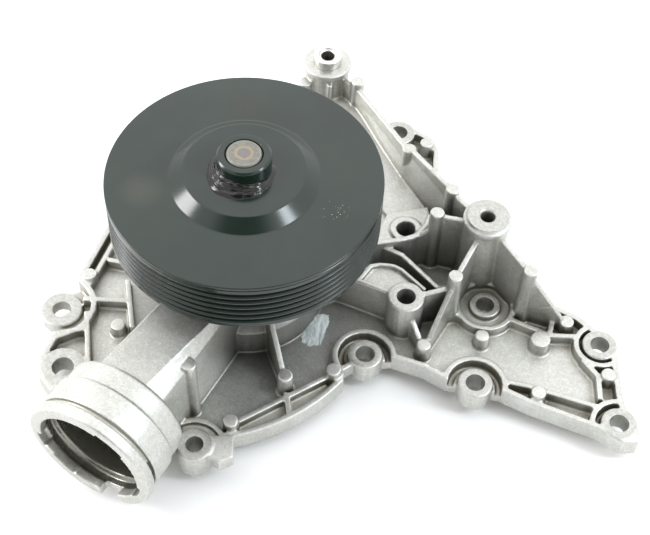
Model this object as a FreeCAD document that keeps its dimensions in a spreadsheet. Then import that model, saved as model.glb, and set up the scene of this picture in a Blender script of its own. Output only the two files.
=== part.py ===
# Engine water pump: die-cast cover housing, hose neck, integral bearing, face seal,
# impeller and poly-V pulley.  Millimetres.  +Z runs along the shaft towards the pulley.
# The origin is the shaft axis on the gasket plane, the face that bolts to the engine.
import FreeCAD, Part
import math
import os
import Sketcher

doc = FreeCAD.newDocument("water_pump")
sheet = doc.addObject("Spreadsheet::Sheet", "sheet")
UP = FreeCAD.Vector(0, 0, 1)


# ---------------------------------------------------------------- driving dimensions
class Size:
    """A length that knows both its number and the sheet expression that gives it."""

    def __init__(self, number, words):
        self.number = number
        self.words = words

    def __add__(self, other):
        return Size(self.number + number(other), f"({self.words} + {words(other)})")

    def __sub__(self, other):
        return Size(self.number - number(other), f"({self.words} - {words(other)})")

    def __mul__(self, factor):
        return Size(self.number * number(factor), f"({self.words} * {words(factor)})")

    def __neg__(self):
        return Size(-self.number, f"(0 - {self.words})")


def number(value):
    return value.number if isinstance(value, Size) else float(value)


def words(value):
    return value.words if isinstance(value, Size) else f"{float(value):.6g}"


class Cells:
    """Writes each driving dimension into the sheet with its alias."""

    def __init__(self):
        self.row = 0

    def size(self, alias, value):
        self.row += 1
        cell = f"A{self.row}"
        sheet.set(cell, f"{value:.6g}")
        sheet.setAlias(cell, alias)
        return Size(float(value), f"sheet.{alias}")


cells = Cells()
size = cells.size

# casting
floor_top = size("floor_top", 5.0)
rim_top = size("rim_top", 10.6)
pocket_top = size("pocket_top", 6.6)
wall = size("wall_thickness", 2.8)
rib_half = size("rib_half_thickness", 1.3)
post_radius = size("post_radius", 3.5)
bolt_hole_radius = size("bolt_hole_radius", 4.5)
boss_radius = size("boss_radius", 8.2)
step_radius = size("step_radius", 9.9)
wide_step_radius = size("wide_step_radius", 11.6)
tab_thickness = size("tab_thickness", 8.0)
tab_top = size("tab_top", 13.8)
arc_wall = size("arc_wall_thickness", 2.6)
tall_boss_top = size("tall_boss_top", 50.2)
top_disc = size("top_disc_height", 49.2)
thread_radius = size("thread_radius", 3.4)
thread_floor = size("thread_floor", 18.0)
bush_bore_radius = size("bush_bore_radius", 3.5)
bush_radius = size("bush_radius", 5.5)
bush_length = size("bush_length", 17.8)
plateau_top = size("plateau_top", 23.0)
lip_top = size("plateau_lip_top", 25.2)
pad_top = size("pad_top", 26.4)
crossover_top = size("crossover_top", 19.5)

# chamber and bearing tower
chamber_radius = size("chamber_radius", 33.0)
chamber_roof = size("chamber_roof", 20.0)
dome_radius = size("dome_radius", 37.5)
seal_bore_radius = size("seal_bore_radius", 17.0)
seal_bore_top = size("seal_bore_top", 31.0)
tower_top = size("tower_top", 70.0)
tower_radius = size("tower_radius", 22.0)
tower_root_radius = size("tower_root_radius", 27.5)
race_outer_radius = size("race_outer_radius", 15.0)
race_inner_radius = size("race_inner_radius", 12.02)
race_bottom = size("race_bottom", 36.0)
race_top = size("race_top", 72.0)

# shaft, balls and rollers
shaft_radius = size("shaft_radius", 7.96)
shaft_bottom = size("shaft_bottom", 4.0)
shaft_top = size("shaft_top", 105.2)
ball_radius = size("ball_radius", 2.8)
ball_circle = size("ball_circle_radius", 10.0)
ball_height = size("ball_height", 63.0)
roller_radius = size("roller_radius", 2.0)
roller_circle = size("roller_circle_radius", 9.99)
roller_bottom = size("roller_bottom", 41.0)
roller_length = size("roller_length", 12.0)
running_gap = size("running_gap", 0.06)

# pulley
pulley_radius = size("pulley_radius", 62.5)
pulley_face = size("pulley_face_height", 89.8)
rim_height = size("pulley_rim_height", 28.4)
groove_pitch = size("groove_pitch", 3.56)
groove_depth = size("groove_depth", 2.6)
first_groove = size("first_groove_drop", 5.6)
plate = size("pulley_plate", 3.0)
rim_inner_radius = size("rim_inner_radius", 57.2)
cone_foot_radius = size("cone_foot_radius", 34.1)
cone_top_radius = size("cone_top_radius", 27.4)
cone_rise = size("cone_rise", 5.0)
hub_radius = size("hub_radius", 12.3)

# hose neck
neck_radius = size("neck_radius", 30.7)
neck_height = size("neck_axis_height", 30.9)
neck_lip_radius = size("neck_lip_radius", 24.9)
neck_seat_radius = size("neck_seat_radius", 24.2)
duct_top = size("duct_top", 47.5)
passage_radius = size("passage_radius", 13.0)

# impeller
impeller_radius = size("impeller_radius", 29.5)
impeller_plate_low = size("impeller_plate_low", 13.5)
impeller_plate_high = size("impeller_plate_high", 15.5)
vane_thickness = size("vane_thickness", 2.0)

NECK_ANGLE = 63.0
NECK_MOUTH = FreeCAD.Vector(-59.5, -113.2, 0)
SEAT_START = 9.6
SEAT_END = 21.0
GROOVES = 6
BALLS = 8
ROLLERS = 11
VANES = 7


# ---------------------------------------------------------------- construction helpers
def bind(thing, **sizes):
    """Set each property and tie it to the sheet."""
    for name, value in sizes.items():
        if isinstance(value, Size):
            thing.setExpression(name, value.words)
        else:
            setattr(thing, name, value)
    return thing


def place(thing, x=0, y=0, z=0, turn=0):
    """Stand the piece at x, y, z after a turn about +Z; z may follow the sheet."""
    thing.Placement = FreeCAD.Placement(FreeCAD.Vector(x, y, number(z)), FreeCAD.Rotation(UP, turn))
    if isinstance(z, Size):
        thing.setExpression("Placement.Base.z", z.words)
    return thing


def cylinder(label, radius, low, high, x=0, y=0):
    rod = doc.addObject("Part::Cylinder", label)
    bind(rod, Radius=radius)
    height = high - low if isinstance(high, Size) else Size(high, words(high)) - low
    rod.setExpression("Height", height.words)
    return place(rod, x, y, low)


def cone(label, low_radius, high_radius, low, high, x=0, y=0):
    body = doc.addObject("Part::Cone", label)
    bind(body, Radius1=low_radius, Radius2=high_radius)
    height = high - low if isinstance(high, Size) else Size(high, words(high)) - low
    body.setExpression("Height", height.words)
    return place(body, x, y, low)


def fuse(label, pieces):
    joined = doc.addObject("Part::MultiFuse", label)
    joined.Shapes = pieces
    return joined


def cut(label, base, tool):
    left = doc.addObject("Part::Cut", label)
    left.Base = base
    left.Tool = tool
    return left


def tube(label, outer, inner, low, high, x=0, y=0):
    outside = cylinder(f"{label}_outside", outer, low, high, x, y)
    inside = cylinder(f"{label}_inside", inner, low, high, x, y)
    return cut(label, outside, inside)


def origin_plane(body, role):
    return next(plane for plane in body.Origin.OriginFeatures if plane.Role == role)


def origin_axis(body, role):
    return next(axis for axis in body.Origin.OriginFeatures if axis.Role == role)


def new_sketch(body, label, role):
    sketch = body.newObject("Sketcher::SketchObject", f"{label}_sketch")
    sketch.AttachmentSupport = (origin_plane(body, role), [""])
    sketch.MapMode = "FlatFace"
    return sketch


def closed_loop(sketch, corners):
    """Straight sides round the corners; corners given by sheet sizes follow the sheet."""
    first = sketch.GeometryCount
    spots = [FreeCAD.Vector(number(a), number(b), 0) for a, b in corners]
    for here, there in zip(spots, spots[1:] + spots[:1]):
        sketch.addGeometry(Part.LineSegment(here, there), False)
    count = len(corners)
    for index in range(count):
        following = first + (index + 1) % count
        sketch.addConstraint(Sketcher.Constraint("Coincident", first + index, 2, following, 1))
    for index, corner in enumerate(corners):
        for kind, value in zip(("DistanceX", "DistanceY"), corner):
            rule = Sketcher.Constraint(kind, -1, 1, first + index, 1, number(value))
            held = sketch.addConstraint(rule)
            if isinstance(value, Size):
                sketch.setExpression(f"Constraints[{held}]", value.words)


def prism(label, corners, height, low=0):
    """A straight-sided block from the height low upward."""
    body = doc.addObject("PartDesign::Body", label)
    sketch = new_sketch(body, label, "XY_Plane")
    closed_loop(sketch, corners)
    pad = body.newObject("PartDesign::Pad", f"{label}_pad")
    pad.Profile = sketch
    bind(pad, Length=height)
    sketch.Visibility = False
    return place(body, 0, 0, low)


def turned(label, profile):
    """A body of revolution about +Z from radius and height corners."""
    body = doc.addObject("PartDesign::Body", label)
    sketch = new_sketch(body, label, "XZ_Plane")
    closed_loop(sketch, profile)
    spin = body.newObject("PartDesign::Revolution", f"{label}_turn")
    spin.Profile = sketch
    spin.ReferenceAxis = (sketch, ["V_Axis"])
    spin.Angle = 360
    return body


def rib(label, start, end, start_top, end_top, low=None, half=None):
    """A straight wall from start to end whose top slopes between two heights."""
    low = floor_top * 0.5 if low is None else Size(low, words(low))
    half = rib_half if half is None else half
    run = FreeCAD.Vector(end[0] - start[0], end[1] - start[1], 0)
    wedge = doc.addObject("Part::Wedge", label)
    heights = {"Zmax": start_top, "Z2max": end_top}
    for name, value in heights.items():
        value = value if isinstance(value, Size) else size(f"{label}_{name.lower()}", value)
        wedge.setExpression(name, value.words)
    for name in ("Xmax", "X2max"):
        wedge.setExpression(name, half.words)
    for name in ("Xmin", "X2min"):
        wedge.setExpression(name, (-half).words)
    for name in ("Zmin", "Z2min"):
        wedge.setExpression(name, low.words)
    wedge.Ymin = 0
    wedge.Ymax = run.Length
    heading = math.degrees(math.atan2(run.y, run.x)) - 90
    return place(wedge, start[0], start[1], 0, heading)


def post(label, x, y, top, radius=None):
    """An ejector post with a little draft."""
    radius = post_radius if radius is None else radius
    top = size(f"{label}_top", top)
    return cone(label, radius * 1.12, radius, floor_top * 0.5, top, x, y)


def arc_points(start, middle, end, steps):
    """Corners along the arc through three plan points, without its end."""
    arc = Part.Arc(*(FreeCAD.Vector(x, y, 0) for x, y in (start, middle, end)))
    spots = arc.discretize(steps + 1)[:-1]
    return [(spot.x, spot.y) for spot in spots]


def group(label, pieces):
    bundle = doc.addObject("Part::Compound", label)
    bundle.Links = pieces
    return bundle


# ---------------------------------------------------------------- housing: base casting
FRONT_ARC = arc_points((49.0, -54.0), (31.0, -72.0), (0.9, -87.0), 10)
EAR_ARC = arc_points((-84.5, -34.0), (-74.6, -21.5), (-81.5, -6.0), 8)
BACK_EDGE = [
    (-81.0, -67.0), (-86.0, -68.0), (-93.3, -59.0), (-94.2, -50.0), (-90.0, -37.0),
] + EAR_ARC + [
    (-83.5, -3.0), (-73.0, 33.0), (-60.0, 62.0), (-30.0, 96.0), (14.0, 122.0), (33.0, 130.0),
    (44.0, 122.0), (52.0, 108.5), (66.0, 110.0), (74.0, 114.5), (92.0, 104.0), (95.5, 94.0),
    (95.0, 76.0), (99.0, 62.0), (124.0, 31.0), (146.0, -1.0), (163.0, -10.0), (172.0, -18.5),
    (179.5, -24.0), (179.8, -53.0), (181.0, -61.0), (185.5, -70.0), (185.5, -79.0),
    (178.0, -80.0), (167.2, -73.0), (136.4, -61.5),
]
OUTLINE = BACK_EDGE + [
    (123.4, -55.1), (98.2, -50.7), (87.0, -44.4), (71.4, -39.4), (47.3, -44.6), (49.6, -49.5),
] + FRONT_ARC + [(0.9, -87.0), (-5.6, -88.2), (-12.0, -95.0), (-27.0, -88.0)]

# the rim follows the outline but bends inward round three of the bolt bosses
MIDDLE_ARC = arc_points((123.4, -55.1), (112.0, -39.0), (98.2, -50.7), 12)
FRONT_BOSS_ARC = arc_points((71.4, -39.4), (56.7, -26.6), (47.3, -44.6), 12)
NECK_EAR_ARC = arc_points((-5.6, -88.2), (-13.9, -81.2), (-27.0, -85.4), 8)
RIM_LINE = BACK_EDGE + MIDDLE_ARC + [(98.2, -50.7), (87.0, -44.4)] + FRONT_BOSS_ARC + [
    (47.3, -44.6), (49.6, -49.5)] + FRONT_ARC + [(0.9, -87.0)] + NECK_EAR_ARC + [(-27.0, -85.4)]
NECK_EAR_TAB = [(-14.0, -88.5), (-9.6, -88.7), (0.7, -88.1), (1.2, -99.2), (-4.5, -102.6),
                (-8.6, -99.9), (-14.0, -99.0)]
NECK_EAR_SHELF = [(-27.0, -87.0), (-22.0, -82.0), (-13.9, -80.5), (-5.0, -86.0), (-8.0, -96.0),
                  (-20.0, -100.0), (-27.0, -90.0)]

# bolt bosses: plan place, hole radius, boss radius, top height
BOSSES = {
    "ear_left": (-89.0, -19.1, bolt_hole_radius, 10.1, 6.6),
    "ear_lower_left": (-82.3, -54.5, bolt_hole_radius + 0.6, 10.8, 10.6),
    "ear_neck": (-16.4, -94.2, bolt_hole_radius - 0.5, 8.4, 14.5),
    "boss_front": (58.9, -39.2, bolt_hole_radius, boss_radius, 11.6),
    "boss_middle": (111.0, -51.8, bolt_hole_radius, boss_radius, 11.2),
    "boss_tip": (177.0, -69.8, bolt_hole_radius, 8.4, 10.9),
    "boss_corner": (171.7, -26.5, bolt_hole_radius, 8.4, 10.9),
    "boss_wing": (117.1, -6.1, bolt_hole_radius, 7.6, 10.9),
    "boss_plateau": (77.1, -15.8, bolt_hole_radius, 8.8, 27.4),
    "boss_pad": (76.9, 26.3, bolt_hole_radius + 0.2, 8.0, 26.8),
    "ear_top": (74.1, 106.2, bolt_hole_radius, 8.6, 10.9),
}
TALL_RIGHT = (114.3, 17.7)
TALL_TOP = (33.6, 118.2)

POSTS = {
    "post_duct": (-20.1, -70.9, 44.0), "post_rib": (22.1, -57.3, 17.6),
    "post_arc_left": (-1.4, -80.8, 14.1), "post_arc_right": (44.4, -50.3, 14.1),
    "post_wing_root": (86.6, -34.2, 15.0), "post_slope": (99.7, -10.3, 38.7),
    "post_wall_end": (134.7, -8.2, 43.0), "post_pad": (90.8, 23.5, 44.0),
    "post_wall_right": (98.6, 39.0, 44.0), "post_wall_middle": (77.4, 67.6, 40.5),
    "post_wall_left": (49.9, 107.0, 47.0), "post_edge": (156.3, -14.8, 12.6),
    "post_wing_small": (114.8, -26.0, 13.0), "post_wing_low": (140.4, -56.0, 12.6),
    "post_wing_right": (174.2, -44.0, 12.4), "post_flange": (88.8, 97.0, 13.8),
    "post_left": (-59.8, -29.5, 11.5), "post_left_wall": (-77.6, -0.8, 12.0),
    "post_tall_top": (22.5, 110.0, 42.0),
}

# walls and ribs: start, end, height at the start, height at the end
RIBS = {
    "wall_tall_top": (TALL_TOP, (50.0, 105.0), 44.0, 44.0),
    "wall_tall_upper": ((50.0, 105.0), (75.0, 69.0), 44.0, 41.0),
    "wall_tall_jog": ((75.0, 69.0), (79.0, 66.0), 41.0, 41.0),
    "wall_tall_lower": ((79.0, 66.0), (98.6, 39.0), 41.0, 43.0),
    "wall_tall_right": ((98.6, 39.0), TALL_RIGHT, 41.0, 45.0),
    "wall_foot_upper": ((61.0, 84.5), (73.0, 65.0), 33.0, 25.0),
    "wall_foot_lower": ((73.0, 65.0), (88.5, 42.5), 25.0, 21.5),
    "rib_tall_top": ((35.4, 104.6), (35.8, 116.0), 44.0, 45.6),
    "wall_drop": (TALL_RIGHT, (134.7, -8.2), 46.0, 41.0),
    "wall_slope": ((134.7, -8.2), (156.3, -14.8), 40.0, 10.6),
    "wall_pad": (TALL_RIGHT, (90.8, 23.5), 44.0, 42.0),
    "wall_inner": (TALL_RIGHT, (99.7, -10.3), 44.0, 36.0),
    "rib_slope_down": ((99.7, -10.3), (87.6, -33.0), 34.0, 12.0),
    "rib_boss_down": ((77.1, -15.8), (86.2, -33.0), 24.0, 12.0),
    "rib_plateau_left": ((44.0, -3.0), (77.1, -15.8), 26.4, 26.4),
    "rib_plateau_right": ((77.1, -15.8), (99.7, -10.3), 26.4, 30.0),
    "rib_pad_one": ((56.0, 14.4), (75.8, 18.9), 28.0, 28.0),
    "rib_pad_two": ((75.8, 18.9), (82.4, 21.9), 28.0, 28.0),
    "rib_pad_three": ((82.4, 21.9), (87.1, 29.0), 28.0, 28.0),
    "rib_pad_four": ((87.1, 29.0), (89.1, 35.3), 28.0, 28.0),
    "rib_pad_link": ((82.4, 21.9), (90.8, 23.5), 27.0, 34.0),
    "rib_slot_far": ((75.4, 12.0), (92.7, -5.1), 24.0, 22.0),
    "rib_slot_end": ((92.7, -5.1), (99.7, -10.3), 22.0, 30.0),
    "rib_slot_root": ((66.0, 16.6), (75.4, 12.0), 24.0, 24.0),
    "rib_hub": ((22.1, -57.3), (9.0, -24.0), 13.0, 46.0),
    "rib_chord": ((-1.4, -80.8), (44.4, -50.3), 10.6, 10.6),
    "rib_chord_divider": ((22.9, -62.0), (25.0, -74.0), 10.6, 10.6),
    "rib_chord_end": ((44.4, -50.3), (58.9, -39.2), 10.6, 10.6),
    "rib_left_double": ((-77.0, -6.0), (-65.0, 34.0), 10.6, 10.6),
    "rib_left_level": ((-79.0, -14.5), (-56.0, -14.5), 10.6, 10.6),
    "rib_left_cross": ((-59.0, -1.8), (-53.0, -30.0), 10.6, 10.6),
    "rib_left_main": ((-76.0, -22.0), (-69.5, -60.0), 10.6, 10.6),
    "rib_left_branch": ((-90.0, -36.0), (-74.0, -31.5), 10.6, 10.6),
    "rib_left_hub": ((-70.0, 10.0), (-36.0, 4.0), 10.6, 10.6),
    "rib_wing_one": ((130.2, -14.0), (147.8, -22.0), 10.6, 10.6),
    "rib_wing_two": ((147.8, -22.0), (160.0, -22.0), 10.6, 10.6),
    "rib_wing_three": ((147.8, -22.0), (150.0, -12.0), 10.6, 10.6),
    "rib_wing_four": ((163.0, -35.0), (169.6, -44.0), 10.6, 10.6),
    "rib_wing_five": ((169.6, -44.0), (169.6, -57.0), 10.6, 10.6),
    "rib_wing_six": ((125.0, -49.5), (136.0, -51.5), 10.6, 10.6),
    "rib_wing_seven": ((136.0, -51.5), (169.6, -61.5), 10.6, 10.6),
    "rib_wing_eight": ((140.0, -54.0), (141.5, -62.0), 10.6, 10.6),
    "rib_wing_root": ((99.7, -10.3), (106.0, -14.0), 10.6, 10.6),
}

# raised floors of the two pockets between the front rim and its chord
POCKET_FLOORS = {
    "pocket_left": [(0.6, -81.3), (21.6, -67.3), (23.0, -74.7), (20.4, -76.2), (13.5, -79.7),
                    (6.3, -82.7), (2.2, -84.1)],
    "pocket_right": [(25.2, -64.9), (41.0, -54.4), (44.4, -55.2), (38.9, -61.9), (33.2, -67.2),
                     (29.5, -70.1), (26.8, -71.8)],
}

# curved walls concentric with a bolt boss, kept inside the outline: boss, outer radius
ARC_WALLS = {
    "arc_wing": ("boss_wing", 15.0), "arc_corner": ("boss_corner", 12.6),
    "arc_tip": ("boss_tip", 13.5),
}

# thin raised lip along the far edge of the plateau
PLATEAU_LIP = [(54.2, -5.9), (60.1, 3.4), (64.7, 4.6), (71.2, 4.1), (75.1, 1.9), (86.5, -9.5)]


def outline_block(label, corners, inset, height, low=0):
    """The casting outline moved in by inset and raised to height."""
    body = prism(label, corners, height, low)
    if not inset:
        return body
    edge = doc.addObject("Part::Offset2D", f"{label}_inset")
    edge.Source = body.Group[0]
    edge.Value = -inset
    edge.Join = 2
    block = doc.addObject("Part::Extrusion", f"{label}_block")
    block.Base = edge
    block.Dir = UP
    block.Solid = True
    bind(block, LengthFwd=height)
    return place(block, 0, 0, low)


def base_casting():
    """Floor, rim wall, curved walls, bosses, posts and ribs."""
    floor = prism("casting_floor", OUTLINE, floor_top)
    outer = prism("casting_outer", RIM_LINE, rim_top)
    inner = outline_block("casting_inner", RIM_LINE, number(wall), rim_top)
    rim = cut("casting_rim", outer, inner)
    tubes = []
    for label, (boss, radius) in ARC_WALLS.items():
        x, y = BOSSES[boss][:2]
        radius = size(f"{label}_radius", radius)
        tubes.append(tube(label, radius, radius - arc_wall, floor_top * 0.5, rim_top, x, y))
    for boss, radius in (("boss_front", step_radius), ("boss_middle", step_radius),
                         ("boss_wing", wide_step_radius)):
        tubes.append(cylinder(f"{boss}_step", radius, 0, rim_top - 3.0, *BOSSES[boss][:2]))
    inside = doc.addObject("Part::Common", "casting_arcs")
    inside.Base = fuse("casting_tubes", tubes)
    inside.Tool = prism("casting_limit", OUTLINE, rim_top)
    web = prism("ear_left_web", [(-89, -29), (-78, -33), (-72, -20), (-79, -5), (-89, -9)], floor_top - 0.6)
    tab = prism("ear_neck_tab", NECK_EAR_TAB, tab_thickness, tab_top - tab_thickness)
    shelf = prism("ear_neck_shelf", NECK_EAR_SHELF, rim_top - 1.8)
    pieces = [floor, rim, inside, web, tab, shelf]
    for label, corners in POCKET_FLOORS.items():
        pieces.append(prism(label, corners, pocket_top))
    for label, (x, y, _, radius, top) in BOSSES.items():
        top = size(f"{label}_top", top)
        radius = radius if isinstance(radius, Size) else size(f"{label}_radius", radius)
        pieces.append(cylinder(label, radius, 0, top, x, y))
    for label, (x, y, top) in POSTS.items():
        pieces.append(post(label, x, y, top))
    pieces.append(post("post_wing_large", 143.0, -26.0, 12.6, post_radius * 1.35))
    for label, (start, end, start_top, end_top) in RIBS.items():
        pieces.append(rib(label, start, end, start_top, end_top))
    return pieces


def raised_blocks():
    """The coolant crossover, the plateau and the pad that carry the tall features."""
    crossover = prism("crossover_block", [
        (8, 30), (58, 15), (75.8, 18.9), (82.4, 21.9), (87.1, 29), (92, 43), (74, 72), (53, 100),
        (38, 112), (24, 108), (4, 78)], crossover_top)
    slope = rib("crossover_slope", (83.2, 36.1), (34.0, 107.0), crossover_top, 33.0, 0, rib_half * 9)
    plateau = prism("plateau_block", [
        (16, -18), (44, -4), (68, -13), (77, -17), (88, -12)] + PLATEAU_LIP[:1:-1]
        + [(60.1, 3.4), (50, 6), (30, 26)], plateau_top)
    lip = [rib(f"plateau_lip_{index}", here, there, lip_top, lip_top, 1, rib_half * 0.8)
           for index, (here, there) in enumerate(zip(PLATEAU_LIP, PLATEAU_LIP[1:]))]
    pad = prism("pad_block", [(58, 15), (75.8, 18.9), (82.4, 21.9), (87.1, 29), (89.1, 35.3),
                              (88, 42), (68, 37)], pad_top - 0.8)
    return [crossover, slope, plateau, pad] + lip


def tall_bosses():
    """The two tall brackets posts with their machined heads."""
    right_x, right_y = TALL_RIGHT
    top_x, top_y = TALL_TOP
    shaft_of_right = cone("tall_right_stem", 12.4, 10.6, 0, tall_boss_top - 3, right_x, right_y)
    shoulder = cylinder("tall_right_shoulder", 11.7, tall_boss_top - 5, tall_boss_top - 1.6, right_x, right_y)
    head = cylinder("tall_right_head", 10.0, tall_boss_top - 5, tall_boss_top, right_x, right_y)
    stem_of_top = cone("tall_top_stem", 12.8, 11.2, 0, top_disc - 1, top_x, top_y)
    shoulder_of_top = cylinder("tall_top_shoulder", 12.5, top_disc - 3.4, top_disc, top_x, top_y)
    return [shaft_of_right, shoulder, head, stem_of_top, shoulder_of_top]


def tower():
    """Dome over the impeller chamber and the tower that holds the bearing."""
    dome = cylinder("chamber_dome", dome_radius, 0, chamber_roof, 0, 0)
    cap = cone("chamber_cap", dome_radius, tower_root_radius, chamber_roof, chamber_roof + 8)
    column = cone("bearing_tower", tower_root_radius, tower_radius, chamber_roof, tower_top)
    return [dome, cap, column]


# ---------------------------------------------------------------- housing: hose neck
def along_neck(thing, distance, across=0, rise=0):
    """Lay a piece made about +Z along the neck, distance in from the mouth."""
    heading = FreeCAD.Rotation(UP, NECK_ANGLE)
    lay = heading.multiply(FreeCAD.Rotation(FreeCAD.Vector(0, 1, 0), 90))
    step = heading.multVec(FreeCAD.Vector(distance, across, 0))
    spot = NECK_MOUTH + step + FreeCAD.Vector(0, 0, number(neck_height) + rise)
    thing.Placement = FreeCAD.Placement(spot, lay)
    return thing


def neck_outside():
    """Front flange, clip groove and two body bands up to the duct."""
    return along_neck(turned("hose_neck", [
        (0, 0), (neck_radius - 0.8, 0), (neck_radius, 0.8), (neck_radius, 5.6),
        (neck_radius - 2.3, 5.6), (neck_radius - 2.3, 7.8), (neck_radius - 0.8, 7.8),
        (neck_radius - 0.8, 20.0), (neck_radius - 2.2, 20.6), (neck_radius - 2.2, 30.0),
        (neck_radius - 3.2, 31.5), (0, 31.5)]), 0)


# duct sections across the neck's line: distance from the mouth, then the right foot,
# left foot, left edge of the flat top, ridge and right shoulder as offsets to the left
DUCT_SECTIONS = [
    (30.0, -17.6, 22.0, 16.5, -6.5, -16.0),
    (80.0, -17.2, 18.0, 11.0, -14.0, -16.2),
    (116.0, -16.5, 14.0, 6.8, -14.0, -15.6),
]


def duct():
    """Roof-shaped duct from the neck to the tower, standing on the floor."""
    body = doc.addObject("PartDesign::Body", "duct")
    sketches = []
    for index, (distance, right, left, edge, ridge, shoulder) in enumerate(DUCT_SECTIONS):
        sketch = new_sketch(body, f"duct_{index}", "YZ_Plane")
        sketch.AttachmentOffset = FreeCAD.Placement(FreeCAD.Vector(0, 0, distance), FreeCAD.Rotation())
        closed_loop(sketch, [
            (right, 0), (left, 0), (left, duct_top - 27), (edge, duct_top), (ridge, duct_top),
            (shoulder, duct_top - 6)])
        sketches.append(sketch)
    loft = body.newObject("PartDesign::AdditiveLoft", "duct_loft")
    loft.Profile = sketches[0]
    loft.Sections = [(sketch, [""]) for sketch in sketches[1:]]
    loft.Ruled = True
    body.Placement = FreeCAD.Placement(NECK_MOUTH, FreeCAD.Rotation(UP, NECK_ANGLE))
    return body


# leaning face of the tall wall: distance along it, foot offset and height, top offset and height
LEAN_SECTIONS = [(-4, 9.0, 21.0, 14.2, 40.0), (27, 8.1, 24.8, 13.4, 40.0), (52, 9.4, 32.0, 12.0, 40.0),
                 (72, 11.0, 38.0, 12.0, 42.0)]
LEAN_START = FreeCAD.Vector(83.2, 36.1, 0)
LEAN_HEADING = 124.75


def leaning_face():
    """The inner face of the tall wall, leaning out from the crossover to the wall's top."""
    body = doc.addObject("PartDesign::Body", "leaning_face")
    sketches = []
    for index, (distance, foot, foot_top, head, head_top) in enumerate(LEAN_SECTIONS):
        sketch = new_sketch(body, f"lean_{index}", "YZ_Plane")
        sketch.AttachmentOffset = FreeCAD.Placement(FreeCAD.Vector(0, 0, distance), FreeCAD.Rotation())
        closed_loop(sketch, [(-head, 5), (-foot, 5), (-foot, foot_top), (-head, head_top)])
        sketches.append(sketch)
    loft = body.newObject("PartDesign::AdditiveLoft", "lean_loft")
    loft.Profile = sketches[0]
    loft.Sections = [(sketch, [""]) for sketch in sketches[1:]]
    loft.Ruled = True
    body.Placement = FreeCAD.Placement(LEAN_START, FreeCAD.Rotation(UP, LEAN_HEADING))
    return body


# bayonet notches in the mouth's lip: start angle from straight down, sweep, depth
NOTCHES = [(24, 30, 1.0), (66, 20, 2.6), (195, 33, 1.6), (277, 26, 1.6), (330, 24, 5.9)]
CLIP_SLOTS = [(95, 30), (250, 33)]


def neck_sector(label, start, sweep, radius, low, height):
    """A slice of a disc about the neck's axis, low in from the mouth."""
    slice_ = doc.addObject("Part::Cylinder", label)
    bind(slice_, Radius=radius, Height=height)
    slice_.Angle = sweep
    along_neck(slice_, low)
    turn = FreeCAD.Placement(FreeCAD.Vector(0, 0, 0), FreeCAD.Rotation(UP, start))
    slice_.Placement = slice_.Placement.multiply(turn)
    return slice_


def neck_cuts():
    """Bayonet mouth, bore, seat step, passage, clip slots and the inlet port."""
    cuts = [along_neck(turned("neck_bore", [
        (0, -1), (neck_lip_radius, -1), (neck_lip_radius, 4.4), (neck_lip_radius + 1.4, 5.0),
        (neck_lip_radius + 1.4, SEAT_START - 1), (neck_seat_radius, SEAT_START),
        (neck_seat_radius, SEAT_END), (neck_seat_radius - 3.0, SEAT_END),
        (neck_seat_radius - 3.0, SEAT_END + 4), (passage_radius, SEAT_END + 6),
        (passage_radius, 78.0), (passage_radius - 6, 84.0), (0, 84.0)]), 0)]
    for index, (start, sweep, reach) in enumerate(NOTCHES):
        cuts.append(neck_sector(f"bayonet_notch_{index}", start, sweep, neck_lip_radius + reach, -1, 6.0))
    for index, (start, sweep) in enumerate(CLIP_SLOTS):
        cuts.append(neck_sector(f"clip_slot_{index}", start, sweep, neck_radius + 1, 5.7, 1.9))
    port = doc.addObject("Part::Box", "inlet_port")
    bind(port, Length=30.0, Width=24.0, Height=neck_height)
    heading = FreeCAD.Rotation(UP, NECK_ANGLE)
    corner = NECK_MOUTH + heading.multVec(FreeCAD.Vector(50, -12, 0))
    port.Placement = FreeCAD.Placement(corner + FreeCAD.Vector(0, 0, -1), heading)
    cuts.append(port)
    return cuts


# ---------------------------------------------------------------- housing: cuts
SEAL_FAR = (-31.0, -52.0)
SEAL_NEAR_RADIUS = 38.0
SEAL_FAR_RADIUS = 22.5
DISCHARGE = [(14, 32), (50, 24), (74, 40), (48, 84), (36, 94), (24, 88)]


def stretched_ring(label, grow, height, low):
    """The outline round the chamber and the inlet port, a hull of two circles."""
    body = doc.addObject("PartDesign::Body", label)
    sketch = new_sketch(body, label, "XY_Plane")
    near = SEAL_NEAR_RADIUS + grow
    far = SEAL_FAR_RADIUS + grow
    gap = math.hypot(*SEAL_FAR)
    heading = math.atan2(SEAL_FAR[1], SEAL_FAR[0])
    lean = math.acos((near - far) / gap)
    centre = FreeCAD.Vector(SEAL_FAR[0], SEAL_FAR[1], 0)
    home = FreeCAD.Vector(0, 0, 0)

    def edge(middle, radius, angle):
        return middle + FreeCAD.Vector(math.cos(angle), math.sin(angle), 0) * radius

    one, two = heading + lean, heading - lean
    sketch.addGeometry(Part.ArcOfCircle(Part.Circle(home, UP, near), one, two + 2 * math.pi), False)
    sketch.addGeometry(Part.LineSegment(edge(home, near, two), edge(centre, far, two)), False)
    sketch.addGeometry(Part.ArcOfCircle(Part.Circle(centre, UP, far), two, one), False)
    sketch.addGeometry(Part.LineSegment(edge(centre, far, one), edge(home, near, one)), False)
    pad = body.newObject("PartDesign::Pad", f"{label}_pad")
    pad.Profile = sketch
    bind(pad, Length=height)
    return place(body, 0, 0, low)


def seal_loop(label, clearance, depth, low):
    outside = stretched_ring(f"{label}_outside", 1.4 - clearance, depth, low)
    inside = stretched_ring(f"{label}_inside", -1.4 + clearance, depth, low)
    return cut(label, outside, inside)


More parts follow.
